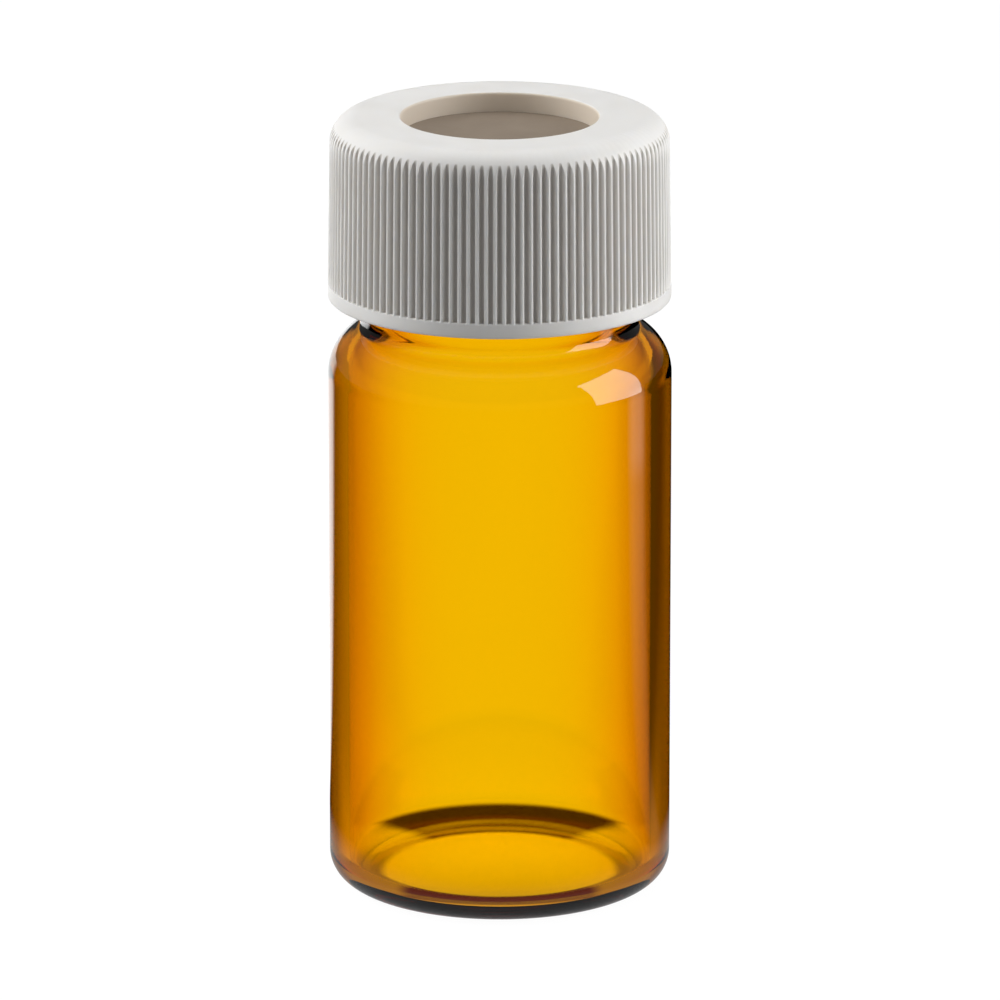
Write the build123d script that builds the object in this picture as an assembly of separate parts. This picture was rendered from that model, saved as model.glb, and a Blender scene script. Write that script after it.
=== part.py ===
from build123d import *
from math import acos, cos, degrees, radians, sin, tan
import os

# Glass sample vial with a septum under an open-top screw cap, in millimetres.
# +Z is the vial's axis, upwards. The origin is the centre of the ring it stands on.

# Glass body
body_radius = 13.75
glass_wall = 1.6
shoulder_start_z = 42.2
shoulder_radius = 4.1
inner_shoulder_radius = 3.0
heel_radius = 2.32
inner_heel_radius = 1.5
floor_thickness = 1.3
standing_ring_width = 0.9
push_up_height = 0.6

# Glass neck and mouth, with the neck's height taken from where its foot turns upright
neck_set_in = 2.95
neck_height = 11.625
neck_foot_radius = 1.0
neck_wall = 1.85
mouth_flare_radius = 2.4
lip_outer_round = 0.6
lip_inner_round = 0.8

# Right-handed screw thread, with the pitch shared by the glass and the cap
thread_pitch = 3.175
thread_turns = 1.5
thread_fade_turns = 0.12
thread_steps_per_turn = 24
thread_root_overlap = 0.35
thread_height = 1.0
thread_crest_clearance = 0.25
glass_thread_width = 2.0
glass_thread_crest_width = 0.7
glass_thread_below_lip = 1.4
cap_thread_width = 1.5
cap_thread_crest_width = 0.6
cap_thread_above_foot = 1.2

# Septum, a little wider than the glass lip that it seals
septum_overhang = 0.2
septum_thickness = 3.18

# Screw cap, with its wall measured over the ribs at its foot
cap_wall = 1.65
cap_above_shoulder = 1.665
cap_plate_thickness = 1.61
cap_plate_over_mouth = 1.1
cap_hole_chamfer = 0.15
cap_draft = 0.85
cap_shoulder_radius = 2.1
cap_foot_chamfer = 0.2
cap_mouth_chamfer = 0.4
septum_seat_clearance = 0.3
septum_below_seat = 0.38

# Ribs round the skirt, left standing between grooves that end on a plain band
rib_count = 120
cap_band_height = 1.2
groove_depth = 0.32
groove_mouth_width = 0.52
groove_floor_width = 0.22
groove_overcut = 0.1

# Radii that follow from the ones above
inner_radius = body_radius - glass_wall
neck_radius = body_radius - neck_set_in
mouth_radius = neck_radius - neck_wall
septum_radius = neck_radius + septum_overhang
cap_bore_radius = neck_radius + thread_height + thread_crest_clearance
cap_foot_radius = cap_bore_radius + cap_wall
cap_seat_radius = septum_radius + septum_seat_clearance
cap_hole_radius = mouth_radius - cap_plate_over_mouth

# The shoulder's round meets the round at the neck's foot on the line between their centres
shoulder_centre = (body_radius - shoulder_radius, shoulder_start_z)
shoulder_reach = shoulder_radius + neck_foot_radius
shoulder_to_foot = neck_radius + neck_foot_radius - shoulder_centre[0]
shoulder_angle = degrees(acos(shoulder_to_foot / shoulder_reach))

# Heights that follow from the ones above
neck_foot_z = shoulder_start_z + shoulder_reach * sin(radians(shoulder_angle))
lip_z = neck_foot_z + neck_height
septum_top_z = lip_z + septum_thickness
cap_top_z = septum_top_z + cap_plate_thickness
cap_foot_z = neck_foot_z + cap_above_shoulder
cap_height = cap_top_z - cap_foot_z
glass_thread_top_z = lip_z - glass_thread_below_lip - glass_thread_width / 2
glass_thread_foot_z = glass_thread_top_z - thread_pitch * thread_turns
cap_thread_foot_z = cap_foot_z + cap_thread_above_foot + cap_thread_width / 2


def on_circle(centre, radius, angle):
    """The point at an angle in degrees on a circle of the half section."""
    return (centre[0] + radius * cos(radians(angle)), centre[1] + radius * sin(radians(angle)))


def arc(centre, radius, start, end):
    """An arc of the half section, from one angle to another, in degrees."""
    middle = (start + end) / 2
    return ThreePointArc(*(on_circle(centre, radius, a) for a in (start, middle, end)))


def turned(outline):
    """The solid turned about the vial's axis from the edges and corners of a half section."""
    edges = []
    for item, following in zip(outline, outline[1:] + outline[:1]):
        start = item @ 1 if isinstance(item, Edge) else Vector(item)
        end = following @ 0 if isinstance(following, Edge) else Vector(following)
        if isinstance(item, Edge):
            edges.append(item)
        if (end - start).length > 1e-6:
            edges.append(Line(start, end))
    return revolve(Plane.XZ * make_face(edges), Axis.Z)


def outer_shoulder():
    """The round shoulder, then the hollow round at the foot of the neck."""
    foot_centre = on_circle(shoulder_centre, shoulder_reach, shoulder_angle)
    return [
        arc(shoulder_centre, shoulder_radius, 0, shoulder_angle),
        arc(foot_centre, neck_foot_radius, 180 + shoulder_angle, 180),
    ]


def inner_shoulder():
    """The round below the mouth's bore, then the inside of the shoulder."""
    centre = (inner_radius - inner_shoulder_radius, shoulder_start_z)
    reach = inner_shoulder_radius + mouth_flare_radius
    meeting = degrees(acos((mouth_radius + mouth_flare_radius - centre[0]) / reach))
    flare_centre = on_circle(centre, reach, meeting)
    return [
        arc(flare_centre, mouth_flare_radius, 180, 180 + meeting),
        arc(centre, inner_shoulder_radius, meeting, 0),
    ]


def floor_dome(rim_radius, rim_z, outwards):
    """The low push-up of the floor, drawn from the axis out to its rim or back inwards."""
    radius = (rim_radius**2 + push_up_height**2) / (2 * push_up_height)
    centre = (0, rim_z + push_up_height - radius)
    rim_angle = degrees(acos(rim_radius / radius))
    ends = (90, rim_angle) if outwards else (rim_angle, 90)
    return arc(centre, radius, *ends)


def glass_shell():
    """The glass without its thread: floor, barrel, shoulder and neck with its lip."""
    ring_outer = body_radius - heel_radius
    floor_rim = inner_radius - inner_heel_radius
    outer_lip = (neck_radius - lip_outer_round, lip_z - lip_outer_round)
    inner_lip = (mouth_radius + lip_inner_round, lip_z - lip_inner_round)
    inner_heel = (floor_rim, floor_thickness + inner_heel_radius)
    return turned([
        floor_dome(ring_outer - standing_ring_width, 0, outwards=True),
        arc((ring_outer, heel_radius), heel_radius, -90, 0),
        *outer_shoulder(),
        arc(outer_lip, lip_outer_round, 0, 90),
        arc(inner_lip, lip_inner_round, 90, 180),
        *inner_shoulder(),
        arc(inner_heel, inner_heel_radius, 0, -90),
        floor_dome(floor_rim, floor_thickness, outwards=False),
    ])


def thread_ridge(root_radius, height, root_width, crest_width, foot_z, foot_angle):
    """A helical ridge on a round wall; a negative height stands inwards, as on the cap.

    Its ends fade out into the wall, and its root is buried in the wall.
    """
    side = 1 if height > 0 else -1
    flank = (root_width - crest_width) / 2 / abs(height)
    sections = []
    for step in range(round(thread_turns * thread_steps_per_turn) + 1):
        turns = step / thread_steps_per_turn
        nearest_end = min(turns, thread_turns - turns)
        fade = min(1, nearest_end / thread_fade_turns)
        sunk = (1 - fade) * (abs(height) + thread_root_overlap / 2)
        angle = radians(foot_angle) + turns * radians(360)
        outwards = Vector(cos(angle), sin(angle), 0)
        root = root_radius - side * (thread_root_overlap + sunk)
        crest = root_radius + height - side * sunk
        half_root = root_width / 2 + flank * thread_root_overlap
        half_crest = crest_width / 2
        centre_z = foot_z + thread_pitch * turns
        along = outwards.cross(Vector(0, 0, 1))
        plane = Plane(origin=(0, 0, centre_z), x_dir=outwards, z_dir=along)
        corners = [(root, -half_root), (crest, -half_crest), (crest, half_crest), (root, half_root)]
        sections.append(plane * make_face(Polyline(corners, close=True)))
    return loft(sections)


def glass_vial():
    """The amber glass, with the raised thread round its neck."""
    thread = thread_ridge(
        neck_radius,
        thread_height,
        glass_thread_width,
        glass_thread_crest_width,
        glass_thread_foot_z,
        0,
    )
    return glass_shell() + thread


def septum():
    """The soft disc that the cap presses on the lip."""
    return Pos(0, 0, lip_z + septum_thickness / 2) * Cylinder(septum_radius, septum_thickness)


def skirt_radius(z):
    """The radius over the ribs at a height, narrowing upwards for the mould's draft."""
    return cap_foot_radius - (z - cap_foot_z) * tan(radians(cap_draft))


def cap_shell():
    """The cap without ribs and thread: skirt, shoulder, plate with its hole, septum seat."""
    shoulder_z = cap_top_z - cap_shoulder_radius
    seat_foot_z = lip_z + septum_below_seat
    bore_top_z = seat_foot_z - (cap_bore_radius - cap_seat_radius)
    round_centre = (skirt_radius(shoulder_z) - cap_shoulder_radius, shoulder_z)
    return turned([
        (cap_foot_radius - cap_foot_chamfer, cap_foot_z),
        (skirt_radius(cap_foot_z + cap_foot_chamfer), cap_foot_z + cap_foot_chamfer),
        arc(round_centre, cap_shoulder_radius, 0, 90),
        (cap_hole_radius + cap_hole_chamfer, cap_top_z),
        (cap_hole_radius, cap_top_z - cap_hole_chamfer),
        (cap_hole_radius, septum_top_z),
        (cap_seat_radius, septum_top_z),
        (cap_seat_radius, seat_foot_z),
        (cap_bore_radius, bore_top_z),
        (cap_bore_radius, cap_foot_z + cap_mouth_chamfer),
        (cap_bore_radius + cap_mouth_chamfer, cap_foot_z),
    ])


def groove_cutters():
    """One cutter for each groove, leaning with the skirt's draft and ending on the band."""
    foot_z = cap_foot_z + cap_band_height
    spread = (groove_mouth_width - groove_floor_width) / 2 / groove_depth
    half_floor = groove_floor_width / 2
    half_mouth = groove_mouth_width / 2 + spread * groove_overcut
    lean = radians(cap_draft)
    plane = Plane(
        origin=(skirt_radius(foot_z), 0, foot_z),
        x_dir=(cos(lean), 0, sin(lean)),
        z_dir=(-sin(lean), 0, cos(lean)),
    )
    corners = [
        (-groove_depth, -half_floor),
        (groove_overcut, -half_mouth),
        (groove_overcut, half_mouth),
        (-groove_depth, half_floor),
    ]
    section = plane * make_face(Polyline(corners, close=True))
    cutter = extrude(section, cap_height)
    return [Rot(0, 0, 360 * rib / rib_count) * cutter for rib in range(rib_count)]


def screw_cap():
    """The white cap, with its thread lying half a pitch from the thread on the glass."""
    mesh_z = glass_thread_foot_z + thread_pitch / 2
    thread = thread_ridge(
        cap_bore_radius,
        -thread_height,
        cap_thread_width,
        cap_thread_crest_width,
        cap_thread_foot_z,
        360 * (cap_thread_foot_z - mesh_z) / thread_pitch,
    )
    return cap_shell() - groove_cutters() + thread


os.makedirs("parts", exist_ok=True)
for name, piece in {
    "glass_vial": glass_vial(),
    "septum": septum(),
    "screw_cap": screw_cap(),
}.items():
    piece.label = name
    export_step(piece, f"parts/{name}.step")
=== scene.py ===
"""An amber glass sample vial, closed by a septum under a ribbed screw cap, and its studio.

Sizes are in millimetres and angles in degrees where nothing else is said. Heights run up the
vial's axis from the surface it stands on, and every mesh is made in metres.
"""

import logging
import math
from collections.abc import Mapping, Sequence
from dataclasses import asdict, dataclass, fields
from enum import Enum
from functools import partial, reduce

import bmesh
import bpy
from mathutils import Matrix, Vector


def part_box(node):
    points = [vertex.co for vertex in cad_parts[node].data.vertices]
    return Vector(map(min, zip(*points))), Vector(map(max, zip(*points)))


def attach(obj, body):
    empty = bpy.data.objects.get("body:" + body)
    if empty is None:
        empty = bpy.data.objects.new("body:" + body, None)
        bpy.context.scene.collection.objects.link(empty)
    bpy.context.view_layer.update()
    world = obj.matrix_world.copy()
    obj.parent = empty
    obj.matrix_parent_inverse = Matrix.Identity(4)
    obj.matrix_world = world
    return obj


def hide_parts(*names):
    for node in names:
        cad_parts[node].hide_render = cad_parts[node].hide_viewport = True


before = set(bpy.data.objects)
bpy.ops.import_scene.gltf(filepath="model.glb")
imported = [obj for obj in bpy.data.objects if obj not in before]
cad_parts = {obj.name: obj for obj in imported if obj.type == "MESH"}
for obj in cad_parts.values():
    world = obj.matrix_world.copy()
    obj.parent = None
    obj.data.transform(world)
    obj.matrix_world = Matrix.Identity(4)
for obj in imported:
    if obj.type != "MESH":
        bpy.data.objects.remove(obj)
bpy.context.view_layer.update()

log = logging.getLogger("vial")

# The mesh attribute with each corner's share of the depth of the grooves, which drives the painted
# shade in them
GROOVE = "groove"
WHITE = (1.0, 1.0, 1.0, 1.0)

# A millimetre in metres, and a full turn in radians
MM = 0.001
FULL_TURN = 2 * math.pi

# Degrees between the points of plain and of fine arcs, and the fold past which an edge is sharp
ARC_STEP = 5.0
FINE_STEP = 3.0
SHARP_EDGE = 66.0

# How near two corners are one corner, how near a wall a corner is on it, and the least radius
# that a shift is divided by
SAME_POINT = 2e-4
ON_WALL = 0.02
LEAST_RADIUS = 1.0

# A place in a half section, a colour, and a constant, node or output that feeds an input
Point = tuple[float, float]
Colour = tuple[float, float, float, float]
Value = object


class Body(Enum):
    """The bodies of the frame that the pieces ride on."""

    VIAL = "vial"
    SEPTUM = "septum"
    CAP = "cap"


class Slot(Enum):
    """The names of the pieces' finishes."""

    GLASS = "amber_glass"
    RUBBER = "septum_rubber"
    PLASTIC = "white_polypropylene"


@dataclass(frozen=True)
class Ramp:
    """A level that moves from one value to another while a number grows from start to end."""

    start: Value
    end: Value
    before: float = 0.0
    after: float = 1.0
    eased: bool = True


class Graph:
    """A node tree being built, with short ways to add nodes and sums."""

    def __init__(self, tree: bpy.types.NodeTree) -> None:
        """Keeps the tree that the nodes go into."""
        self.tree = tree

    def add(self, kind: str, inputs: Mapping | None = None, **settings: Value) -> bpy.types.Node:
        """Adds one node.

        Args:
            kind: The node's type.
            inputs: A constant, a node or an output for each input, by its name or place.
            **settings: The node's own options.

        Returns:
            The new node.
        """
        node = self.tree.nodes.new(kind)
        for name, value in settings.items():
            setattr(node, name, value)
        for key, value in (inputs or {}).items():
            self.feed(node.inputs[key], value)
        return node

    def feed(self, socket: bpy.types.NodeSocket, value: Value) -> None:
        """Joins an output to an input, or sets the input to a constant."""
        if isinstance(value, bpy.types.Node):
            value = value.outputs[0]
        if isinstance(value, bpy.types.NodeSocket):
            self.tree.links.new(value, socket)
        else:
            socket.default_value = value

    def math(self, operation: str, *values: Value) -> bpy.types.NodeSocket:
        """The result of one sum on numbers or outputs."""
        return self.add("ShaderNodeMath", dict(enumerate(values)), operation=operation).outputs[0]

    def product(self, *values: Value) -> bpy.types.NodeSocket:
        """All the values multiplied together."""
        return reduce(partial(self.math, "MULTIPLY"), values)

    def largest(self, *values: Value) -> bpy.types.NodeSocket:
        """The largest of the values."""
        return reduce(partial(self.math, "MAXIMUM"), values)

    def ramp(self, value: Value, ramp: Ramp) -> bpy.types.NodeSocket:
        """The level of a ramp at a number."""
        inputs = {"Value": value, 1: ramp.start, 2: ramp.end, 3: ramp.before, 4: ramp.after}
        kind = "SMOOTHSTEP" if ramp.eased else "LINEAR"
        return self.add("ShaderNodeMapRange", inputs, interpolation_type=kind).outputs[0]

    def mix(self, share: Value, first: Value, second: Value) -> bpy.types.NodeSocket:
        """A colour between two others."""
        inputs = {0: share, 6: first, 7: second}
        return self.add("ShaderNodeMix", inputs, data_type="RGBA").outputs[2]

    def glow(self, colour: Colour, strength: Value) -> bpy.types.Node:
        """A surface that gives off light of its own."""
        return self.add("ShaderNodeEmission", {"Color": colour, "Strength": strength})

    def lengths(self, place: Value) -> Sequence[bpy.types.NodeSocket]:
        """The X, Y and Z of a place in metres, as millimetres."""
        scaled = self.add("ShaderNodeVectorMath", {0: place, "Scale": 1 / MM}, operation="SCALE")
        return self.add("ShaderNodeSeparateXYZ", {0: scaled}).outputs

    def reach(self, across: Value, along: Value) -> bpy.types.NodeSocket:
        """How far a place is from the axis."""
        squares = self.math("ADD", self.product(across, across), self.product(along, along))
        return self.math("SQRT", squares)

    def bearing(self, across: Value, along: Value) -> bpy.types.NodeSocket:
        """The angle of a place as seen from above, from straight behind towards the right."""
        return self.product(self.math("ARCTAN2", across, along), math.degrees(1.0))


def title(key: str) -> str:
    """The name that a tree's input shows, from its keyword."""
    return key.replace("_", " ").capitalize()


class Tree(Graph):
    """A geometry node tree with named inputs."""

    def __init__(self, name: str, **inputs: str) -> None:
        """Starts a tree that takes a mesh and the named inputs and gives a mesh."""
        super().__init__(bpy.data.node_groups.new(name, "GeometryNodeTree"))
        sockets = self.tree.interface
        sockets.new_socket("Geometry", in_out="OUTPUT", socket_type="NodeSocketGeometry")
        sockets.new_socket("Geometry", in_out="INPUT", socket_type="NodeSocketGeometry")
        for key, kind in inputs.items():
            sockets.new_socket(title(key), in_out="INPUT", socket_type="NodeSocket" + kind)
        self.given = self.tree.nodes.new("NodeGroupInput").outputs

    def end(self, geometry: Value) -> bpy.types.NodeTree:
        """Joins the finished geometry to the tree's output."""
        self.add("NodeGroupOutput", {"Geometry": geometry})
        return self.tree

    def ridged(self, wall: Value, ridge: bpy.types.NodeTree) -> bpy.types.Node:
        """Raises a screw ridge on a wall by another tree, from this tree's own inputs."""
        inputs = {title(key): self.given[title(key)] for key in RIDGE_INPUTS}
        return self.add("GeometryNodeGroup", {"Geometry": wall, **inputs}, node_tree=ridge)

    def dressed(self, geometry: Value) -> bpy.types.NodeTree:
        """Ends the tree with real faces, smooth but for the sharp edges, in the given material."""
        real = self.add("GeometryNodeRealizeInstances", {"Geometry": geometry})
        merged = self.add("GeometryNodeMergeByDistance",
                          {"Geometry": real, "Distance": SAME_POINT * MM})
        smooth = self.add("GeometryNodeSetShadeSmooth", {"Geometry": merged, "Shade Smooth": True})
        fold = self.add("GeometryNodeInputMeshEdgeAngle").outputs["Unsigned Angle"]
        sharp = self.math("GREATER_THAN", fold, math.radians(SHARP_EDGE))
        edged = self.add("GeometryNodeSetShadeSmooth",
                         {"Geometry": smooth, "Selection": sharp, "Shade Smooth": False},
                         domain="EDGE")
        coated = self.add("GeometryNodeSetMaterial",
                          {"Geometry": edged, "Material": self.given["Material"]})
        return self.end(coated)


def mesh_of(tree: bpy.types.NodeTree, base: bpy.types.Mesh, name: str,
            inputs: Mapping[str, Value]) -> bpy.types.Mesh:
    """Runs a tree on a base mesh and returns the closed mesh that it makes, facing outwards.

    Args:
        tree: The geometry node tree.
        base: The mesh that the tree starts from.
        name: The new mesh's name.
        inputs: The tree's inputs by name.

    Returns:
        A plain mesh with its material.
    """
    holder = bpy.data.objects.new(name, base)
    bpy.context.scene.collection.objects.link(holder)
    modifier = holder.modifiers.new("Tree", "NODES")
    modifier.node_group = tree
    for item in tree.interface.items_tree:
        if item.in_out == "INPUT" and item.name in inputs:
            modifier[item.identifier] = inputs[item.name]
    seen = holder.evaluated_get(bpy.context.evaluated_depsgraph_get())
    mesh = bpy.data.meshes.new_from_object(seen)
    bpy.data.objects.remove(holder)
    bpy.data.meshes.remove(base)
    mesh.name = name
    work = bmesh.new()
    work.from_mesh(mesh)
    bmesh.ops.recalc_face_normals(work, faces=work.faces)
    if work.calc_volume(signed=True) < 0:
        bmesh.ops.reverse_faces(work, faces=work.faces)
    work.to_mesh(mesh)
    work.free()
    return mesh


def add_piece(mesh: bpy.types.Mesh, body: Body, node: str) -> bpy.types.Object:
    """Puts a mesh in the scene as the piece that stands for a node of the frame.

    Args:
        mesh: The finished mesh.
        body: The body that the piece rides on.
        node: The node of the frame that it stands for.

    Returns:
        The piece.
    """
    piece = bpy.data.objects.new(mesh.name, mesh)
    bpy.context.scene.collection.objects.link(piece)
    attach(piece, body.value)
    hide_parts(node)
    log.info("%s: %d faces on body %s", piece.name, len(mesh.polygons), body.value)
    return piece


def on_circle(centre: Point, radius: float, angle: float) -> Point:
    """The point at an angle on a circle of the half section."""
    turn = math.radians(angle)
    return centre[0] + radius * math.cos(turn), centre[1] + radius * math.sin(turn)


def arc(centre: Point, radius: float, start: float, end: float,
        step: float = ARC_STEP) -> list[Point]:
    """Points along an arc of the half section, from one angle to another, both included."""
    count = max(2, math.ceil(abs(end - start) / step))
    return [on_circle(centre, radius, start + (end - start) * i / count) for i in range(count + 1)]


def between(start: Point, end: Point, step: float, margin: float = 0.15) -> list[Point]:
    """Points inside a straight run, with one close to each end so that the run shades flat.

    Args:
        start: The run's first point, which isn't repeated.
        end: The run's last point, which isn't repeated.
        step: The widest gap between the points.
        margin: How far the first and last of them lie from the ends.

    Returns:
        The points in order.
    """
    length = math.dist(start, end)
    inner = length - 2 * margin
    count = max(1, math.ceil(inner / step))
    places = [(margin + inner * i / count) / length for i in range(count + 1)]
    return [tuple(a + (b - a) * share for a, b in zip(start, end)) for share in places]


def outline_mesh(name: str, points: Sequence[Point]) -> bpy.types.Mesh:
    """A chain of edges along a half section, in the plane of the axis."""
    mesh = bpy.data.meshes.new(name)
    places = [(r * MM, 0.0, z * MM) for r, z in points]
    mesh.from_pydata(places, [(i, i + 1) for i in range(len(places) - 1)], [])
    return mesh


@dataclass(frozen=True)
class ScrewRidge:
    """The helical ridge of a screw thread on a round wall, inwards where its height is negative.

    Its foot's angle, its length and the fade at its ends are in turns.
    """

    wall_radius: float
    ridge_height: float
    root_width: float
    crest_width: float
    foot_height: float
    foot_turn: float = 0.0
    pitch: float = 3.175
    turns: float = 1.5
    fade: float = 0.12

    def top_z(self) -> float:
        """The height at which the middle of the ridge ends."""
        return self.foot_height + self.pitch * self.turns

    def inputs(self) -> dict[str, float]:
        """The ridge as inputs of the tree that raises it, with its lengths in metres."""
        return {title(key): value * (1.0 if key in IN_TURNS else MM)
                for key, value in asdict(self).items()}


# The fields of a ridge that aren't lengths, and what each of its fields is as a tree's input
IN_TURNS = ("foot_turn", "turns", "fade")
RIDGE_INPUTS = {field.name: "Float" for field in fields(ScrewRidge)}


def screw_ridge_tree() -> bpy.types.NodeTree:
    """A tree that raises a helical ridge from a round wall, fading into it at both ends."""
    t = Tree("Screw ridge", **RIDGE_INPUTS)
    given = t.given
    x, y, z = t.add("ShaderNodeSeparateXYZ", {0: t.add("GeometryNodeInputPosition")}).outputs
    radius = t.reach(x, y)
    angle = t.math("DIVIDE", t.math("ARCTAN2", y, x), FULL_TURN)
    round_turn = t.math("SUBTRACT", angle, given["Foot turn"])
    risen = t.math("DIVIDE", t.math("SUBTRACT", z, given["Foot height"]), given["Pitch"])
    lap = t.math("ROUND", t.math("SUBTRACT", risen, round_turn))
    turn = t.math("ADD", round_turn, lap)
    off = t.product(t.math("ABSOLUTE", t.math("SUBTRACT", risen, turn)), given["Pitch"])
    crest_edge = t.math("DIVIDE", given["Crest width"], 2)
    root_edge = t.math("DIVIDE", given["Root width"], 2)
    flank = t.ramp(off, Ramp(crest_edge, root_edge, 1.0, 0.0))
    to_end = t.math("MINIMUM", turn, t.math("SUBTRACT", given["Turns"], turn))
    sunk = t.ramp(t.math("DIVIDE", to_end, given["Fade"]), Ramp(0.0, 1.0, 1.0, 0.0, eased=False))
    raised = t.largest(t.math("SUBTRACT", flank, sunk), 0.0)
    off_wall = t.math("ABSOLUTE", t.math("SUBTRACT", radius, given["Wall radius"]))
    on_wall = t.math("LESS_THAN", off_wall, ON_WALL * MM)
    height = t.product(raised, given["Ridge height"], on_wall)
    share = t.math("DIVIDE", height, t.largest(radius, LEAST_RADIUS * MM))
    offset = t.add("ShaderNodeCombineXYZ", {0: t.product(x, share), 1: t.product(y, share)})
    inputs = {"Geometry": given["Geometry"], "Offset": offset}
    return t.end(t.add("GeometryNodeSetPosition", inputs))


def turned_tree(ridge: bpy.types.NodeTree | None) -> bpy.types.NodeTree:
    """A tree that turns a half section about the axis, with a screw ridge if there is one."""
    extra = RIDGE_INPUTS if ridge else {}
    t = Tree("Turned wall", segments="Int", material="Material", **extra)
    outline = t.given["Geometry"]
    count = t.add("GeometryNodeAttributeDomainSize", {"Geometry": outline}).outputs["Point Count"]
    columns = t.math("ADD", t.given["Segments"], 1)
    grid = t.add("GeometryNodeMeshGrid", {"Vertices X": count, "Vertices Y": columns})
    index = t.add("GeometryNodeInputIndex")
    # Half a step more keeps the row's number whole where the division falls just short of it
    row = t.math("FLOOR", t.math("DIVIDE", t.math("ADD", index, 0.5), columns))
    column = t.math("SUBTRACT", index, t.product(row, columns))
    angle = t.product(t.math("DIVIDE", column, t.given["Segments"]), FULL_TURN)
    corner = t.add("GeometryNodeSampleIndex",
                   {"Geometry": outline, "Value": t.add("GeometryNodeInputPosition"), "Index": row},
                   data_type="FLOAT_VECTOR", domain="POINT")
    turned = t.add("ShaderNodeVectorRotate", {"Vector": corner, "Angle": angle},
                   rotation_type="Z_AXIS")
    wall = t.add("GeometryNodeSetPosition", {"Geometry": grid, "Position": turned})
    return t.dressed(t.ridged(wall, ridge) if ridge else wall)


def repeated_tree(ridge: bpy.types.NodeTree) -> bpy.types.NodeTree:
    """A tree that sets copies of one sector round the axis and raises the thread inside them."""
    t = Tree("Ribs round the cap", rib_count="Int", material="Material", **RIDGE_INPUTS)
    points = t.add("GeometryNodePoints", {"Count": t.given["Rib count"]})
    share = t.math("DIVIDE", t.add("GeometryNodeInputIndex"), t.given["Rib count"])
    turn = t.add("ShaderNodeCombineXYZ", {2: t.product(share, FULL_TURN)})
    ring = t.add("GeometryNodeInstanceOnPoints",
                 {"Points": points, "Instance": t.given["Geometry"], "Rotation": turn})
    real = t.add("GeometryNodeRealizeInstances", {"Geometry": ring})
    return t.dressed(t.ridged(real, ridge))


class Finish:
    """A material whose surface is one shader, with what drives it built in Object coordinates.

    Grains and depths are in millimetres.
    """

    name: str

    def __init__(self) -> None:
        """Makes the material and builds its nodes."""
        self.material = bpy.data.materials.new(self.name)
        self.material.use_nodes = True
        self.graph = Graph(self.material.node_tree)
        nodes = self.material.node_tree.nodes
        self.shader = nodes["Principled BSDF"]
        self.output = nodes["Material Output"]
        self.place = self.graph.add("ShaderNodeTexCoord").outputs["Object"]
        self.build()

    def build(self) -> None:
        """Adds the nodes of one finish."""
        raise NotImplementedError

    def set(self, **values: Value) -> None:
        """Sets or joins the shader's sockets by name, with words joined by underscores."""
        for key, value in values.items():
            self.graph.feed(self.shader.inputs[key.replace("_", " ")], value)

    def noise(self, grain: Sequence[float], detail: float = 3.0) -> bpy.types.NodeSocket:
        """Smooth noise whose blotches have the given sizes along X, Y and Z."""
        scale = [1 / (size * MM) for size in grain]
        spread = self.graph.add("ShaderNodeMapping", {"Vector": self.place, "Scale": scale})
        inputs = {"Vector": spread, "Scale": 1.0, "Detail": detail}
        return self.graph.add("ShaderNodeTexNoise", inputs).outputs[0]

    def bump(self, height: Value, depth: float, below: Value | None = None) -> bpy.types.NodeSocket:
        """A relief of the given depth, laid over another one if there is one."""
        inputs = {"Height": height, "Strength": 1.0, "Distance": depth * MM}
        if below is not None:
            inputs["Normal"] = below
        return self.graph.add("ShaderNodeBump", inputs).outputs[0]


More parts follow.
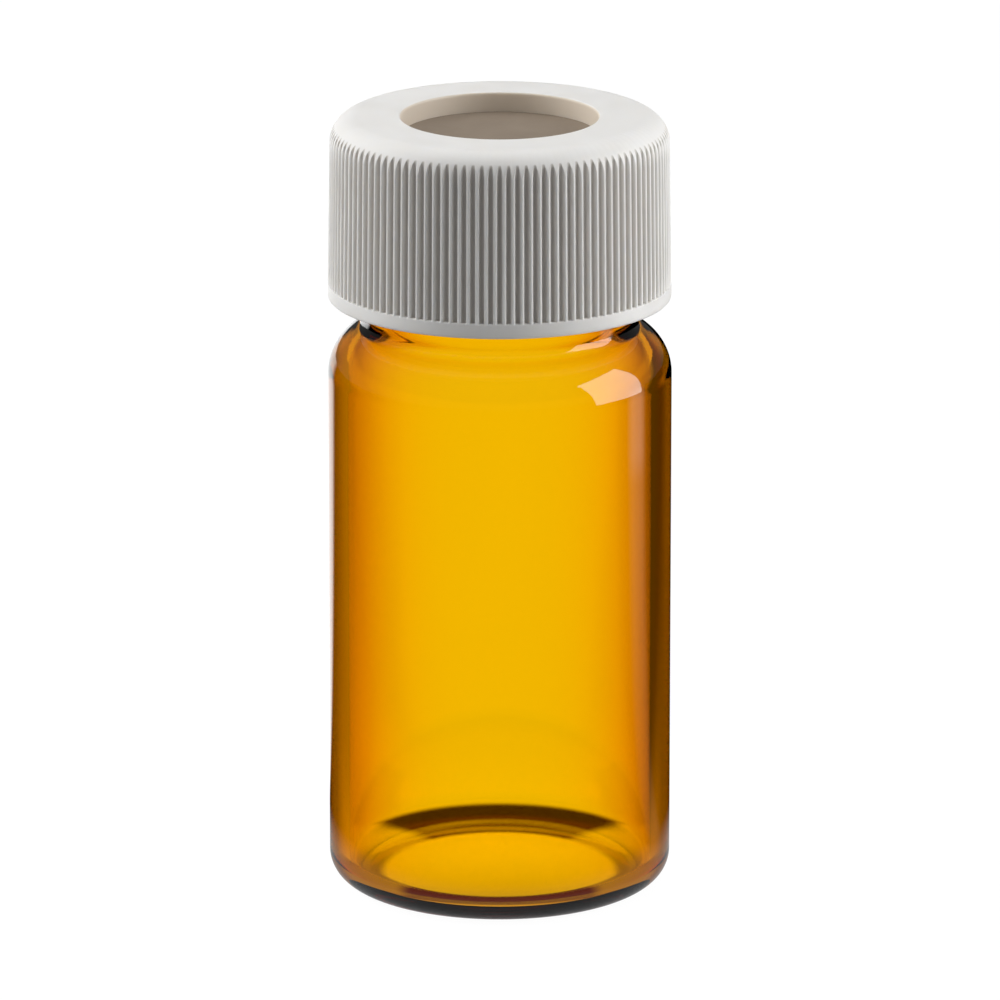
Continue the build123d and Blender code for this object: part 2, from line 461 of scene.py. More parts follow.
class AmberGlass(Finish):
    """Clear amber glass drawn as a tube, with faint draw lines and rings on its shoulder.

    Its surface takes painted shade: a warmer, darker tint where it slants away from the viewer, a
    darker one at the outermost edge, and the darkest over the inner heel where that faces the
    viewer. A slant is 0 face on and 1 edge on, a reach is measured from the axis, and the density
    is for each metre of glass.
    """

    name = "amber_glass"
    ior = 1.5
    tint = (0.983, 0.904, 0.01, 1.0)
    tint_density = 2450.0
    cloud = (0.97, 0.975, 0.98, 1.0)
    cloud_grain = (9.0, 9.0, 20.0)
    haze = Ramp(0.35, 0.8, 0.0, 0.025)
    haze_grain = (4.0, 4.0, 9.0)
    lines_grain = (0.7, 0.7, 60.0)
    lines_depth = 0.0012
    rings_grain = (6.0, 6.0, 0.5)
    rings_depth = 0.006
    rings_height = Ramp(40.5, 43.5)
    slant_blend = 0.5
    # Painted shade: a warmer, darker tint where the surface slants away from the viewer
    side = (0.97, 0.61, 0.50, 1.0)
    side_slant = Ramp(0.06, 0.62)
    side_height = Ramp(2.0, 3.5, 0.35, 1.0)
    # Painted shade: a dark tint at the outermost edge
    edge = (0.20, 0.14, 0.11, 1.0)
    edge_slant = Ramp(0.55, 0.74)
    edge_reach = Ramp(12.6, 13.4)
    # Painted shade: the darkest tint, over the inner heel where it faces the viewer
    heel = (0.10, 0.05, 0.04, 1.0)
    heel_slant = Ramp(0.22, 0.48, 1.0, 0.0)
    heel_height = (Ramp(1.25, 1.4), Ramp(2.0, 2.4, 1.0, 0.0))
    heel_reach = (Ramp(10.6, 10.8), Ramp(12.2, 12.3, 1.0, 0.0))

    def build(self) -> None:
        """Adds the painted shade on the glass, the tint in it and the faint relief on it."""
        g = self.graph
        across, along, height = g.lengths(self.place)
        out = g.reach(across, along)
        slant = g.add("ShaderNodeLayerWeight", {"Blend": self.slant_blend}).outputs["Facing"]
        side = g.product(g.ramp(slant, self.side_slant), g.ramp(height, self.side_height))
        edge = g.product(g.ramp(slant, self.edge_slant), g.ramp(out, self.edge_reach))
        heel = g.product(*(g.ramp(height, ramp) for ramp in self.heel_height),
                         *(g.ramp(out, ramp) for ramp in self.heel_reach),
                         g.ramp(slant, self.heel_slant))
        colour = g.mix(self.noise(self.cloud_grain), WHITE, self.cloud)
        # Painted shade over the clouded colour: at the slanted sides, the outermost edge and the
        # inner heel
        colour = g.mix(side, colour, self.side)
        colour = g.mix(edge, colour, self.edge)
        colour = g.mix(heel, colour, self.heel)
        haze = g.ramp(self.noise(self.haze_grain), self.haze)
        lines = self.bump(self.noise(self.lines_grain), self.lines_depth)
        rings = g.product(self.noise(self.rings_grain), g.ramp(height, self.rings_height))
        self.set(Base_Color=colour, Roughness=haze, Transmission_Weight=1.0, IOR=self.ior,
                 Normal=self.bump(rings, self.rings_depth, lines))
        tint = g.add("ShaderNodeVolumeAbsorption",
                     {"Color": self.tint, "Density": self.tint_density})
        g.feed(self.output.inputs["Volume"], tint)


class Moulded(Finish):
    """A moulded finish: two colours in faint blotches, a shine that goes with them, fine grain."""

    first: Colour
    second: Colour
    shine: Ramp
    mottle_grain: tuple[float, float, float]
    mottle_detail = 4.0
    fine_grain: tuple[float, float, float]
    fine_detail = 2.0
    fine_depth: float

    def build(self) -> None:
        """Adds the mottled colour, the shine and the fine grain."""
        mottle = self.noise(self.mottle_grain, self.mottle_detail)
        grain = self.noise(self.fine_grain, self.fine_detail)
        self.set(Base_Color=self.shaded(self.graph.mix(mottle, self.first, self.second)),
                 Roughness=self.graph.ramp(mottle, self.shine),
                 Normal=self.bump(grain, self.fine_depth))

    def shaded(self, colour: bpy.types.NodeSocket) -> bpy.types.NodeSocket:
        """The mottled colour, which a finish may darken with painted shade in places."""
        return colour


class SeptumRubber(Moulded):
    """Soft matt taupe rubber."""

    name = "septum_rubber"
    first = (0.235, 0.185, 0.14, 1.0)
    second = (0.30, 0.245, 0.19, 1.0)
    shine = Ramp(0.3, 0.7, 0.52, 0.66)
    mottle_grain = (1.6, 1.6, 1.6)
    fine_grain = (0.16, 0.16, 0.16)
    fine_depth = 0.006


class WhitePolypropylene(Moulded):
    """Warm white moulded plastic, satin, with light just entering it.

    It has painted shade in the grooves between the ribs and a warm painted shade on the wall of the
    hole.
    """

    name = "white_polypropylene"
    first = (0.80, 0.785, 0.755, 1.0)
    second = (0.84, 0.835, 0.825, 1.0)
    shine = Ramp(0.3, 0.7, 0.40, 0.50)
    mottle_grain = (2.5, 2.5, 5.0)
    fine_grain = (0.12, 0.12, 0.2)
    fine_depth = 0.0025
    # Painted shade in the grooves between the ribs
    groove = (0.60, 0.57, 0.535, 1.0)
    groove_share = Ramp(0.1, 1.0)
    # Painted warm shade on the wall of the hole
    hole = (0.72, 0.64, 0.54, 1.0)
    hole_reach = Ramp(7.88, 7.98, 1.0, 0.0)
    inner_light = 0.2
    inner_light_spread = (1.0, 0.9, 0.75)
    inner_light_depth = 0.6

    def build(self) -> None:
        """Adds the moulded finish and the light that enters the plastic."""
        super().build()
        self.set(Subsurface_Weight=self.inner_light, Subsurface_Radius=self.inner_light_spread,
                 Subsurface_Scale=self.inner_light_depth * MM)

    def shaded(self, colour: bpy.types.NodeSocket) -> bpy.types.NodeSocket:
        """The mottled colour, with painted shade in the grooves and on the hole's wall."""
        g = self.graph
        groove = g.add("ShaderNodeAttribute", attribute_name=GROOVE).outputs["Fac"]
        across, along, _ = g.lengths(self.place)
        colour = g.mix(g.ramp(groove, self.groove_share), colour, self.groove)
        return g.mix(g.ramp(g.reach(across, along), self.hole_reach), colour, self.hole)


@dataclass(frozen=True)
class GlassVial:
    """The amber glass: floor, barrel, round shoulder and a neck with its thread.

    The last fields place the points of its half section: steps and a margin along its straight
    runs, arcs in degrees round its lip, and the number of rows and segments.
    """

    body_radius: float
    lip_z: float
    wall: float = 1.6
    shoulder_z: float = 42.2
    shoulder_radius: float = 4.1
    inner_shoulder: float = 3.0
    heel_radius: float = 2.32
    inner_heel_radius: float = 1.5
    floor: float = 1.3
    ring_width: float = 0.9
    push_up: float = 0.6
    neck_set_in: float = 2.95
    neck_foot_round: float = 1.0
    neck_wall: float = 1.85
    flare_round: float = 2.4
    lip_outer: float = 0.6
    lip_inner: float = 0.8
    ridge_height: float = 1.0
    ridge_root: float = 2.0
    ridge_crest: float = 0.7
    ridge_below_lip: float = 1.4
    ridge_step: float = 0.1
    neck_step: float = 1.0
    bore_step: float = 4.0
    barrel_step: float = 6.0
    lip_margin: float = 0.05
    lip_outer_arc: float = 10.0
    lip_inner_arc: float = 8.0
    dome_rows: int = 14
    segments: int = 256

    @property
    def neck_radius(self) -> float:
        """The neck's radius without its thread."""
        return self.body_radius - self.neck_set_in

    @property
    def mouth_radius(self) -> float:
        """The radius of the mouth's bore."""
        return self.neck_radius - self.neck_wall

    def ridge(self) -> ScrewRidge:
        """The thread on the neck."""
        top = self.lip_z - self.ridge_below_lip - self.ridge_root / 2
        foot = top - ScrewRidge.pitch * ScrewRidge.turns
        return ScrewRidge(self.neck_radius, self.ridge_height, self.ridge_root, self.ridge_crest,
                          foot)

    def floor_dome(self, rim_radius: float, rim_z: float) -> list[Point]:
        """The low push-up of the floor, from the axis out to its rim."""
        radius = (rim_radius**2 + self.push_up**2) / (2 * self.push_up)
        rim_angle = math.degrees(math.acos(rim_radius / radius))
        centre = (0.0, rim_z + self.push_up - radius)
        return arc(centre, radius, 90, rim_angle, (90 - rim_angle) / self.dome_rows)

    def shoulder(self, wall_radius: float, bend: float, neck_radius: float,
                 foot_bend: float) -> list[Point]:
        """A shoulder's round and the hollow round into its neck, going up.

        Args:
            wall_radius: The radius of the wall below the shoulder.
            bend: The radius of the shoulder's round.
            neck_radius: The radius of the wall above it.
            foot_bend: The radius of the hollow round.

        Returns:
            The points in order.
        """
        centre = (wall_radius - bend, self.shoulder_z)
        across = neck_radius + foot_bend - centre[0]
        meeting = math.degrees(math.acos(across / (bend + foot_bend)))
        foot = on_circle(centre, bend + foot_bend, meeting)
        return [*arc(centre, bend, 0, meeting, FINE_STEP),
                *arc(foot, foot_bend, 180 + meeting, 180)[1:]]

    def outline(self) -> list[Point]:
        """The half section, from the middle of the underside round to the middle of the floor."""
        ring = self.body_radius - self.heel_radius
        inner_radius = self.body_radius - self.wall
        floor_rim = inner_radius - self.inner_heel_radius
        outside = self.shoulder(self.body_radius, self.shoulder_radius,
                                self.neck_radius, self.neck_foot_round)
        inside = self.shoulder(inner_radius, self.inner_shoulder,
                               self.mouth_radius, self.flare_round)[::-1]
        heel = arc((ring, self.heel_radius), self.heel_radius, -90, 0)
        ridge = self.ridge()
        thread_foot = (self.neck_radius, ridge.foot_height - self.ridge_root)
        thread_top = (self.neck_radius, ridge.top_z() + self.ridge_root / 2 + 2 * self.ridge_step)
        outer_lip = arc((self.neck_radius - self.lip_outer, self.lip_z - self.lip_outer),
                        self.lip_outer, 0, 90, self.lip_outer_arc)
        inner_lip = arc((self.mouth_radius + self.lip_inner, self.lip_z - self.lip_inner),
                        self.lip_inner, 90, 180, self.lip_inner_arc)
        inner_heel = arc((floor_rim, self.floor + self.inner_heel_radius),
                         self.inner_heel_radius, 0, -90)
        return [
            *self.floor_dome(ring - self.ring_width, 0.0),
            *heel,
            *between(heel[-1], outside[0], self.barrel_step),
            *outside,
            *between(outside[-1], thread_foot, self.neck_step),
            thread_foot,
            *between(thread_foot, thread_top, self.ridge_step),
            thread_top,
            *between(thread_top, outer_lip[0], self.neck_step, self.lip_margin),
            *outer_lip,
            *between(outer_lip[-1], inner_lip[0], self.neck_step),
            *inner_lip,
            *between(inner_lip[-1], inside[0], self.bore_step),
            *inside,
            *between(inside[-1], inner_heel[0], self.barrel_step),
            *inner_heel[:-1],
            *reversed(self.floor_dome(floor_rim, self.floor)),
        ]

    def build(self, ridge: bpy.types.NodeTree) -> bpy.types.Object:
        """Turns the outline, raises the thread and dresses the piece."""
        inputs = {"Segments": self.segments, "Material": AmberGlass().material,
                  **self.ridge().inputs()}
        base = outline_mesh("vial_outline", self.outline())
        mesh = mesh_of(turned_tree(ridge), base, "amber_vial", inputs)
        return add_piece(mesh, Body.VIAL, "glass_vial")


@dataclass(frozen=True)
class Septum:
    """The soft disc pressed between the lip and the cap's top."""

    radius: float
    low_z: float
    high_z: float
    edge_round: float = 0.25
    edge_arc: float = 15.0
    edge_step: float = 1.0
    face_step: float = 3.0
    segments: int = 192

    def outline(self) -> list[Point]:
        """The half section, from the middle of the underside round to the middle of the top."""
        inset = self.radius - self.edge_round
        low = arc((inset, self.low_z + self.edge_round), self.edge_round, -90, 0, self.edge_arc)
        high = arc((inset, self.high_z - self.edge_round), self.edge_round, 0, 90, self.edge_arc)
        return [
            (0.0, self.low_z),
            *between((0.0, self.low_z), low[0], self.face_step),
            *low,
            *between(low[-1], high[0], self.edge_step),
            *high,
            *between(high[-1], (0.0, self.high_z), self.face_step),
            (0.0, self.high_z),
        ]

    def build(self) -> bpy.types.Object:
        """Turns the outline and dresses the piece."""
        inputs = {"Segments": self.segments, "Material": SeptumRubber().material}
        base = outline_mesh("septum_outline", self.outline())
        mesh = mesh_of(turned_tree(None), base, "rubber_septum", inputs)
        return add_piece(mesh, Body.SEPTUM, "septum")


@dataclass(frozen=True)
class ScrewCap:
    """The white cap: ribbed skirt, round shoulder, top with its hole, seat and thread.

    The last fields place the rows and columns of its mesh. The foot's rows reach up to the band's
    top edge: four round the foot's edge and three on the band.
    """

    foot_radius: float
    foot_z: float
    top_z: float
    septum_radius: float
    septum_top_z: float
    lip_z: float
    mouth_radius: float
    neck_crest_radius: float
    neck_ridge_z: float
    seat_clearance: float = 0.3
    thread_clearance: float = 0.25
    plate_over_mouth: float = 1.1
    draft: float = 0.85
    shoulder_radius: float = 2.1
    foot_round: float = 0.2
    mouth_chamfer: float = 0.4
    hole_round: float = 0.2
    seat_above_lip: float = 0.38
    rib_count: int = 120
    band_height: float = 1.2
    ledge: float = 0.05
    groove_depth: float = 0.32
    groove_floor: float = 0.08
    groove_edge: float = 0.3
    ridge_height: float = 1.0
    ridge_root: float = 1.5
    ridge_crest: float = 0.6
    ridge_above_foot: float = 1.2
    ridge_step: float = 0.12
    groove_columns: tuple[float, ...] = (0.05, 0.2, 0.38, 0.62, 0.8, 0.95)
    groove_rows: tuple[float, ...] = (0.1, 0.5, 0.9)
    band_low_row: float = 0.5
    band_margin: float = 0.1
    top_margin: float = 0.15
    hole_margin: float = 0.1
    foot_arc: float = 30.0
    hole_arc: float = 15.0
    foot_rows: int = 7
    shoulder_rows: int = 9
    inner_columns: int = 2
    halvings: int = 40

    @property
    def seat_radius(self) -> float:
        """The radius of the seat that holds the septum."""
        return self.septum_radius + self.seat_clearance

    @property
    def bore_radius(self) -> float:
        """The radius of the bore that the cap's thread stands on."""
        return self.neck_crest_radius + self.thread_clearance

    @property
    def hole_radius(self) -> float:
        """The radius of the hole in the cap's top."""
        return self.mouth_radius - self.plate_over_mouth

    def ridge(self) -> ScrewRidge:
        """The thread inside the skirt, half a pitch away from the one on the neck."""
        foot = self.foot_z + self.ridge_above_foot + self.ridge_root / 2
        pitch = ScrewRidge.pitch
        turn = (foot - self.neck_ridge_z - pitch / 2) / pitch
        return ScrewRidge(self.bore_radius, -self.ridge_height, self.ridge_root, self.ridge_crest,
                          foot, turn)

    def skirt_radius(self, z: float) -> float:
        """The radius over the ribs at a height."""
        return self.foot_radius - (z - self.foot_z) * math.tan(math.radians(self.draft))

    def round_centre(self) -> Point:
        """The centre of the shoulder's round in the half section."""
        z = self.top_z - self.shoulder_radius
        return self.skirt_radius(z) - self.shoulder_radius, z

    def columns(self) -> list[tuple[float, float]]:
        """Each outer column's angle in radians and its share of the groove's depth."""
        pitch = FULL_TURN * self.foot_radius / self.rib_count
        span = self.groove_edge - self.groove_floor
        marks = [self.groove_floor + span * share for share in self.groove_columns]
        half = [0.0, *marks, pitch / 2]
        result = []
        for x in half + [pitch - x for x in reversed(half[:-1])]:
            into = min(max((min(x, pitch - x) - self.groove_floor) / span, 0.0), 1.0)
            result.append((x / self.foot_radius, 1 - into * into * (3 - 2 * into)))
        return result

    def groove_end(self, cut: float) -> float:
        """The angle on the shoulder's round where a cut of a given depth runs out."""
        centre = self.round_centre()
        low, high = 0.0, 90.0
        for _ in range(self.halvings):
            middle = (low + high) / 2
            r, z = on_circle(centre, self.shoulder_radius, middle)
            if r > self.skirt_radius(z) - cut:
                low = middle
            else:
                high = middle
        return low

    def outer_column(self, share: float) -> list[Point]:
        """The outside of the cap in one plane through the axis, from the foot up to the top."""
        cut = self.groove_depth * share
        band_z = self.foot_z + self.band_height
        edge = (self.foot_radius - self.foot_round, self.foot_z + self.foot_round)
        points = arc(edge, self.foot_round, -90, 0, self.foot_arc)
        for z in (self.foot_z + self.band_low_row, band_z - self.band_margin, band_z):
            points.append((self.skirt_radius(z), z))
        centre = self.round_centre()
        end = self.groove_end(cut)
        ledge_z = band_z + self.ledge
        rise = on_circle(centre, self.shoulder_radius, end)[1] - ledge_z
        for part in (0.0, *self.groove_rows):
            z = ledge_z + rise * part
            points.append((self.skirt_radius(z) - cut, z))
        points += arc(centre, self.shoulder_radius, end, 90, (90 - end) / self.shoulder_rows)
        points.append((centre[0] - self.top_margin, self.top_z))
        return points

    def inner_column(self) -> list[Point]:
        """The cap's hole, seat and bore in one plane, from the top down to the foot."""
        seat_z = self.lip_z + self.seat_above_lip
        bore_z = seat_z - (self.bore_radius - self.seat_radius)
        ridge = self.ridge()
        thread_top = (self.bore_radius, ridge.top_z() + self.ridge_root / 2)
        thread_foot = (self.bore_radius, ridge.foot_height - self.ridge_root / 2)
        hole_edge = (self.hole_radius + self.hole_round, self.top_z - self.hole_round)
        return [
            (hole_edge[0] + self.hole_margin, self.top_z),
            *arc(hole_edge, self.hole_round, 90, 180, self.hole_arc),
            (self.hole_radius, self.top_z - 2 * self.hole_round),
            (self.hole_radius, self.septum_top_z),
            (self.seat_radius, self.septum_top_z),
            (self.seat_radius, seat_z),
            (self.bore_radius, bore_z),
            thread_top,
            *between(thread_top, thread_foot, self.ridge_step),
            thread_foot,
            (self.bore_radius, self.foot_z + self.mouth_chamfer),
            (self.bore_radius + self.mouth_chamfer, self.foot_z),
        ]

    def sector(self) -> bpy.types.Mesh:
        """One rib's share of the cap, open only where its neighbours join it."""
        work = bmesh.new()
        depth = work.verts.layers.float.new(GROOVE)
        outer = [self.column(work, angle, self.outer_column(share))
                 for angle, share in self.columns()]
        # Corners in the grooves keep their share of the depth, which drives the painted shade there
        for corners_up, (_, share) in zip(outer, self.columns()):
            for corner in corners_up[self.foot_rows:-self.shoulder_rows - 1]:
                corner[depth] = share
        whole = FULL_TURN / self.rib_count
        inner = [self.column(work, whole * i / self.inner_columns, self.inner_column())
                 for i in range(self.inner_columns + 1)]
        for strip in (outer, inner):
            for left, right in zip(strip, strip[1:]):
                for a, b, c, d in zip(left, right, right[1:], left[1:]):
                    work.faces.new((a, b, c, d))
        work.faces.new([c[-1] for c in outer] + [c[0] for c in reversed(inner)])
        work.faces.new([c[0] for c in reversed(outer)] + [c[-1] for c in inner])
        mesh = bpy.data.meshes.new("cap_sector")
        work.to_mesh(mesh)
        work.free()
        return mesh

    @staticmethod
    def column(work: bmesh.types.BMesh, angle: float,
               points: Sequence[Point]) -> list[bmesh.types.BMVert]:
        """The corners of one column of a half section, turned to its angle in radians."""
        return [work.verts.new((r * MM * math.cos(angle), r * MM * math.sin(angle), z * MM))
                for r, z in points]

    def build(self, ridge: bpy.types.NodeTree) -> bpy.types.Object:
        """Sets the sectors round the axis, raises the thread and dresses the piece."""
        inputs = {"Rib count": self.rib_count, "Material": WhitePolypropylene().material,
                  **self.ridge().inputs()}
        mesh = mesh_of(repeated_tree(ridge), self.sector(), "white_cap", inputs)
        return add_piece(mesh, Body.CAP, "screw_cap")


@dataclass(frozen=True)
class Camera:
    """The camera of the photograph, which looks at a place near the vial's middle."""

    aim: tuple[float, float, float] = (0.03, 0.0, 31.50)
    elevation: float = 16.058
    distance: float = 739.28
    lens: float = 331.69
    nearest: float = 50.0
    farthest: float = 20000.0

    def build(self) -> bpy.types.Object:
        """Sets the camera and makes it the scene's own."""
        data = bpy.data.cameras.new("camera")
        data.lens = self.lens
        data.clip_start = self.nearest * MM
        data.clip_end = self.farthest * MM
        camera = bpy.data.objects.new("camera", data)
        up = math.radians(self.elevation)
        back = Vector((0.0, -math.cos(up), math.sin(up)))
        camera.location = (Vector(self.aim) + back * self.distance) * MM
        camera.rotation_euler = (-back).to_track_quat("-Z", "Y").to_euler()
        bpy.context.scene.collection.objects.link(camera)
        bpy.context.scene.camera = camera
        return camera


@dataclass(frozen=True)
class Softbox:
    """A soft lamp with a flat oblong face, turned towards the vial.

    Its azimuth runs from the camera's side to the right, and its level is how bright its face is,
    with 1 for white. The camera and rays through the glass never find it, and mirror rays find it
    only if it is seen.
    """

    name: str
    azimuth: float
    elevation: float
    distance: float
    width: float
    height: float
    level: float
    aim_z: float = 35.0
    seen: bool = False

    def build(self) -> bpy.types.Object:
        """Sets the lamp where it shines on the vial."""
        data = bpy.data.lights.new(self.name, "AREA")
        data.shape = "RECTANGLE"
        data.size = self.width * MM
        data.size_y = self.height * MM
        data.energy = self.level * math.pi * data.size * data.size_y
        lamp = bpy.data.objects.new(self.name, data)
        turn, up = math.radians(self.azimuth), math.radians(self.elevation)
        out = Vector((math.sin(turn) * math.cos(up), -math.cos(turn) * math.cos(up), math.sin(up)))
        lamp.location = (out * self.distance + Vector((0.0, 0.0, self.aim_z))) * MM
        lamp.rotation_euler = (-out).to_track_quat("-Z", "Z").to_euler()
        lamp.visible_camera = False
        lamp.visible_glossy = self.seen
        lamp.visible_transmission = False
        bpy.context.scene.collection.objects.link(lamp)
        return lamp


@dataclass(frozen=True)
class Floor:
    """The pale floor, whose levels for mirror rays and rays through the glass go by place.

    The camera sees it white but for the vial's shadow. Rays through the glass find a painted pool
    of light under the vial, a painted shadow in a ring round its foot but for both sides of it, and
    painted shade to the right and left behind it, where each side has a fall and a return. Mirror
    rays find it dark but for painted light at the vial's foot, a painted streak of light beside
    the right lamp and painted light at the far left. Bearings run from straight behind towards the
    right. Those of the sides are taken from a place in front of the vial.
    """

    size: float = 6000.0
    grey: float = 0.36
    camera_level: float = 1.16
    camera_share: float = 0.84
    glass_level: float = 1.10
    # Painted shade to the right and left behind the vial, seen through the glass
    right_side: tuple[Ramp, Ramp] = (Ramp(5.7, 25.0, 1.0, 0.11), Ramp(30.5, 51.8, 0.0, 0.6))
    left_side: tuple[Ramp, Ramp] = (Ramp(5.7, 25.0, 1.0, 0.50), Ramp(30.5, 51.8, 0.0, 1.0))
    side_origin: float = 70.0
    side_front: Ramp = Ramp(-6.0, 14.0, 1.0, 0.0)
    # Painted pool of light under the vial, seen through its floor
    under: Ramp = Ramp(-8.8, 8.8, 0.9, 2.2, eased=False)
    # Painted shadow, seen through the glass, in a ring round the vial's foot
    foot_shift: float = -1.1
    foot_inside: Ramp = Ramp(8.8, 9.8)
    foot_outside: Ramp = Ramp(16.4, 18.6)
    foot_width: Ramp = Ramp(0.62, 0.74)
    foot_front: Ramp = Ramp(-2.0, 6.0, 0.35, 1.0)
    foot_glow: Colour = (0.12, 0.025, 0.004, 1.0)
    # Painted light for mirror rays: at the vial's foot, a streak beside the right lamp and the far
    # left
    foot_mirror: Ramp = Ramp(16.0, 26.0, 0.45, 0.0)
    streak: tuple[float, float] = (72.0, 86.0)
    streak_level: Ramp = Ramp(30.0, 130.0, 0.08, 0.33)
    streak_top: Ramp = Ramp(130.0, 144.0, 0.0, 0.6)
    far_left: tuple[float, float] = (-36.0, -6.0)
    far_left_level: float = 1.5
    ease: float = 4.0

    def build(self) -> bpy.types.Object:
        """Lays the floor and gives it its finish."""
        half = self.size / 2 * MM
        mesh = bpy.data.meshes.new("floor")
        mesh.from_pydata([(-half, -half, 0), (half, -half, 0), (half, half, 0), (-half, half, 0)],
                         [], [(0, 1, 2, 3)])
        floor = bpy.data.objects.new("floor", mesh)
        bpy.context.scene.collection.objects.link(floor)
        mesh.materials.append(self.material())
        return floor

    def material(self) -> bpy.types.Material:
        """A card lit by the lamps, with a white glow of its own for the camera and painted light
        and shadow for mirror and glass rays.
        """
        material = bpy.data.materials.new("floor")
        material.use_nodes = True
        g = Graph(material.node_tree)
        material.node_tree.nodes.clear()
        ray = g.add("ShaderNodeLightPath").outputs
        across, along, _ = g.lengths(g.add("ShaderNodeTexCoord").outputs["Object"])
        out = g.reach(across, along)
        camera, glass = ray["Is Camera Ray"], ray["Is Transmission Ray"]
        mirror = g.product(ray["Is Glossy Ray"], g.math("SUBTRACT", 1.0, glass))
        mirrored = g.product(mirror, self.mirrored(g, out, g.bearing(across, along)))
        plain = g.glow(WHITE, g.largest(g.product(camera, self.camera_level), mirrored))
        through = self.through_glass(g, across, along, out)
        glow = g.add("ShaderNodeMixShader", {0: glass, 1: plain, 2: through})
        card = g.add("ShaderNodeBsdfDiffuse", {"Color": (self.grey, self.grey, self.grey, 1.0)})
        own = g.largest(g.product(camera, self.camera_share), glass, mirror)
        surface = g.add("ShaderNodeMixShader", {0: own, 1: card, 2: glow})
        g.add("ShaderNodeOutputMaterial", {"Surface": surface})
        return material

    def mirrored(self, g: Graph, out: Value, bearing: Value) -> bpy.types.NodeSocket:
        """The painted light that mirror rays find on the floor, by distance from the axis and
        bearing.
        """
        streak = g.math("ADD", g.ramp(out, self.streak_level), g.ramp(out, self.streak_top))
        return g.largest(g.product(self.window(g, bearing, self.streak), streak),
                         g.product(self.window(g, bearing, self.far_left), self.far_left_level),
                         g.ramp(out, self.foot_mirror))

    def through_glass(self, g: Graph, across: Value, along: Value, out: Value) -> bpy.types.Node:
        """The glow that rays through the glass find.

        Args:
            g: The floor's node tree.
            across: How far a place is to the right.
            along: How far it is behind the axis.
            out: How far it is from the axis.

        Returns:
            The glow, white where the floor is open and a reddish painted shadow in the ring at the
            foot.
        """
        bearing = g.bearing(across, g.math("ADD", along, self.side_origin))
        front = g.ramp(along, self.side_front)
        # Painted shade to the right and left behind the vial
        sides = []
        for turn, (fall, again) in ((1.0, self.right_side), (-1.0, self.left_side)):
            angle = g.product(bearing, turn)
            sides.append(g.largest(g.ramp(angle, fall), g.ramp(angle, again), front))
        shifted = g.reach(across, g.math("SUBTRACT", along, self.foot_shift))
        outside = g.ramp(shifted, self.foot_inside)
        width = g.math("DIVIDE", g.math("ABSOLUTE", across), out)
        beside = g.product(g.ramp(width, self.foot_width), g.ramp(along, self.foot_front))
        clear = g.product(outside, g.largest(g.ramp(out, self.foot_outside), beside))
        # Painted light under the vial
        under = g.product(g.math("SUBTRACT", 1.0, outside), g.ramp(along, self.under))
        lit = g.product(*sides, self.glass_level, clear)
        bright = g.glow(WHITE, g.math("ADD", under, lit))
        # Painted shadow in the ring at the foot
        dark = g.glow(self.foot_glow, g.math("SUBTRACT", outside, clear))
        return g.add("ShaderNodeAddShader", {0: bright, 1: dark})

    def window(self, g: Graph, bearing: Value, ends: tuple[float, float]) -> bpy.types.NodeSocket:
        """One between two bearings and nothing outside them, eased at both ends."""
        start, end = ends
        return g.product(g.ramp(bearing, Ramp(start - self.ease, start + self.ease)),
                         g.ramp(bearing, Ramp(end - self.ease, end + self.ease, 1.0, 0.0)))


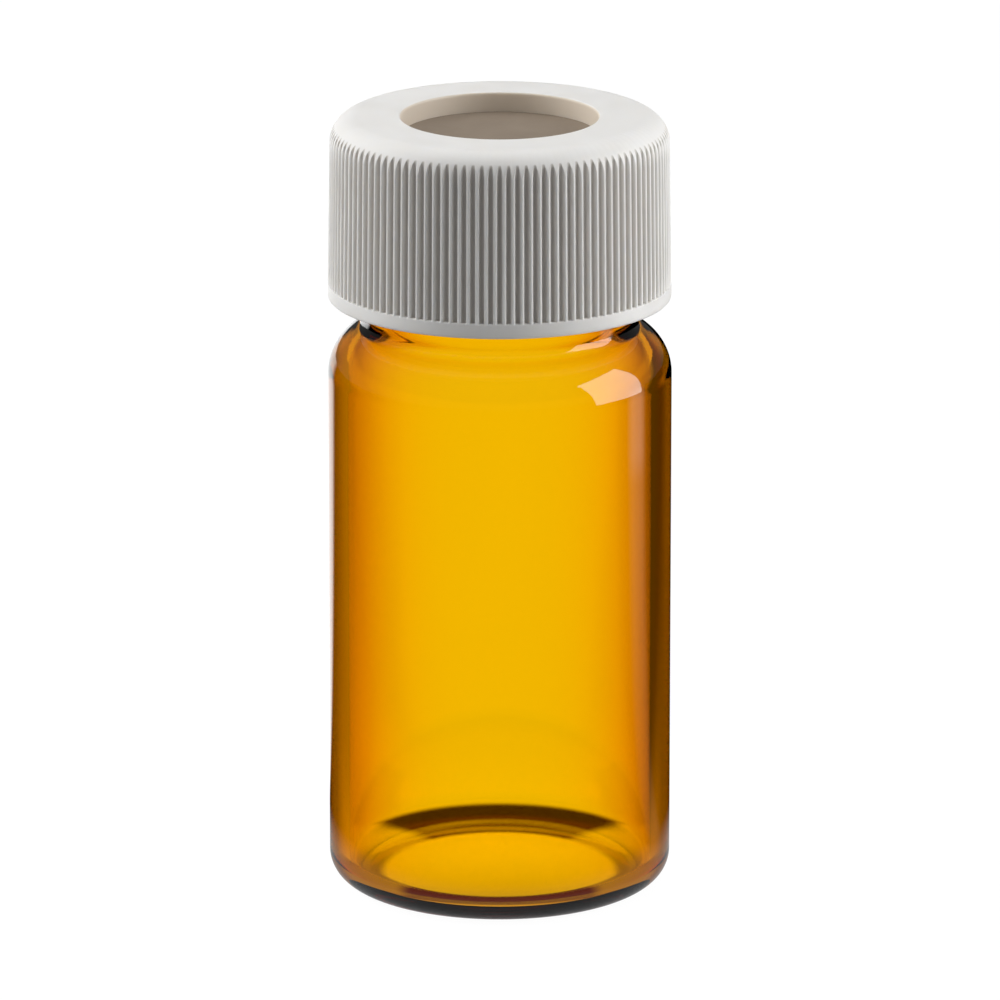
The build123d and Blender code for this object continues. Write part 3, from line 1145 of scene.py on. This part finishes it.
@dataclass(frozen=True)
class Studio:
    """A pale floor, a white surround and soft lamps at both sides and above.

    The surround's light grows towards the back. Mirror rays find a share of it, and rays through
    the glass find only a white band from the horizon up.
    """

    floor: Floor = Floor()
    towards_back: Ramp = Ramp(-0.6, 0.8, 0.104, 0.4)
    mirror_share: float = 0.25
    low_band: Ramp = Ramp(0.08, 0.2, 1.0, 0.0)
    softboxes: tuple[Softbox, ...] = (
        Softbox("right_softbox", azimuth=85.0, elevation=6.0, distance=300.0,
                width=400.0, height=230.0, level=4.4, seen=True),
        Softbox("left_softbox", azimuth=-98.0, elevation=25.0, distance=400.0,
                width=330.0, height=330.0, level=4.4),
        Softbox("top_softbox", azimuth=0.0, elevation=88.0, distance=600.0,
                width=500.0, height=480.0, level=1.95),
    )

    def surround(self) -> bpy.types.World:
        """A surround that is white to the camera and a soft grey light elsewhere."""
        world = bpy.data.worlds.new("surround")
        world.use_nodes = True
        g = Graph(world.node_tree)
        world.node_tree.nodes.clear()
        ray = g.add("ShaderNodeLightPath").outputs
        glass = ray["Is Transmission Ray"]
        towards = g.add("ShaderNodeTexCoord").outputs["Generated"]
        _, back, up = g.add("ShaderNodeSeparateXYZ", {0: towards}).outputs
        soft = g.product(g.ramp(back, self.towards_back), g.math("SUBTRACT", 1.0, glass),
                         g.ramp(ray["Is Glossy Ray"], Ramp(0.0, 1.0, 1.0, self.mirror_share)))
        band = g.product(glass, g.ramp(up, self.low_band))
        level = g.largest(soft, ray["Is Camera Ray"], band)
        light = g.add("ShaderNodeBackground", {"Color": WHITE, "Strength": level})
        g.add("ShaderNodeOutputWorld", {"Surface": light})
        bpy.context.scene.world = world
        return world

    def build(self) -> None:
        """Sets the floor, the surround and the lamps."""
        self.floor.build()
        self.surround()
        for softbox in self.softboxes:
            softbox.build()
            log.info("%s set", softbox.name)


def main() -> None:
    """Builds the pieces in order, then the studio and the camera."""
    logging.basicConfig(level=logging.INFO, format="%(name)s: %(message)s")
    ridge = screw_ridge_tree()
    _, glass_high = (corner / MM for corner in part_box("glass_vial"))
    septum_low, septum_high = (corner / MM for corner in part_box("septum"))
    cap_low, cap_high = (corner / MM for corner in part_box("screw_cap"))
    vial = GlassVial(body_radius=glass_high.x, lip_z=glass_high.z)
    vial.build(ridge)
    Septum(radius=septum_high.x, low_z=septum_low.z, high_z=septum_high.z).build()
    cap = ScrewCap(
        foot_radius=cap_high.x,
        foot_z=cap_low.z,
        top_z=cap_high.z,
        septum_radius=septum_high.x,
        septum_top_z=septum_high.z,
        lip_z=glass_high.z,
        mouth_radius=vial.mouth_radius,
        neck_crest_radius=vial.neck_radius + vial.ridge_height,
        neck_ridge_z=vial.ridge().foot_height,
    )
    cap.build(ridge)
    bpy.context.scene.view_settings.view_transform = "Standard"
    Studio().build()
    Camera().build()


if __name__ == "__main__":
    main()
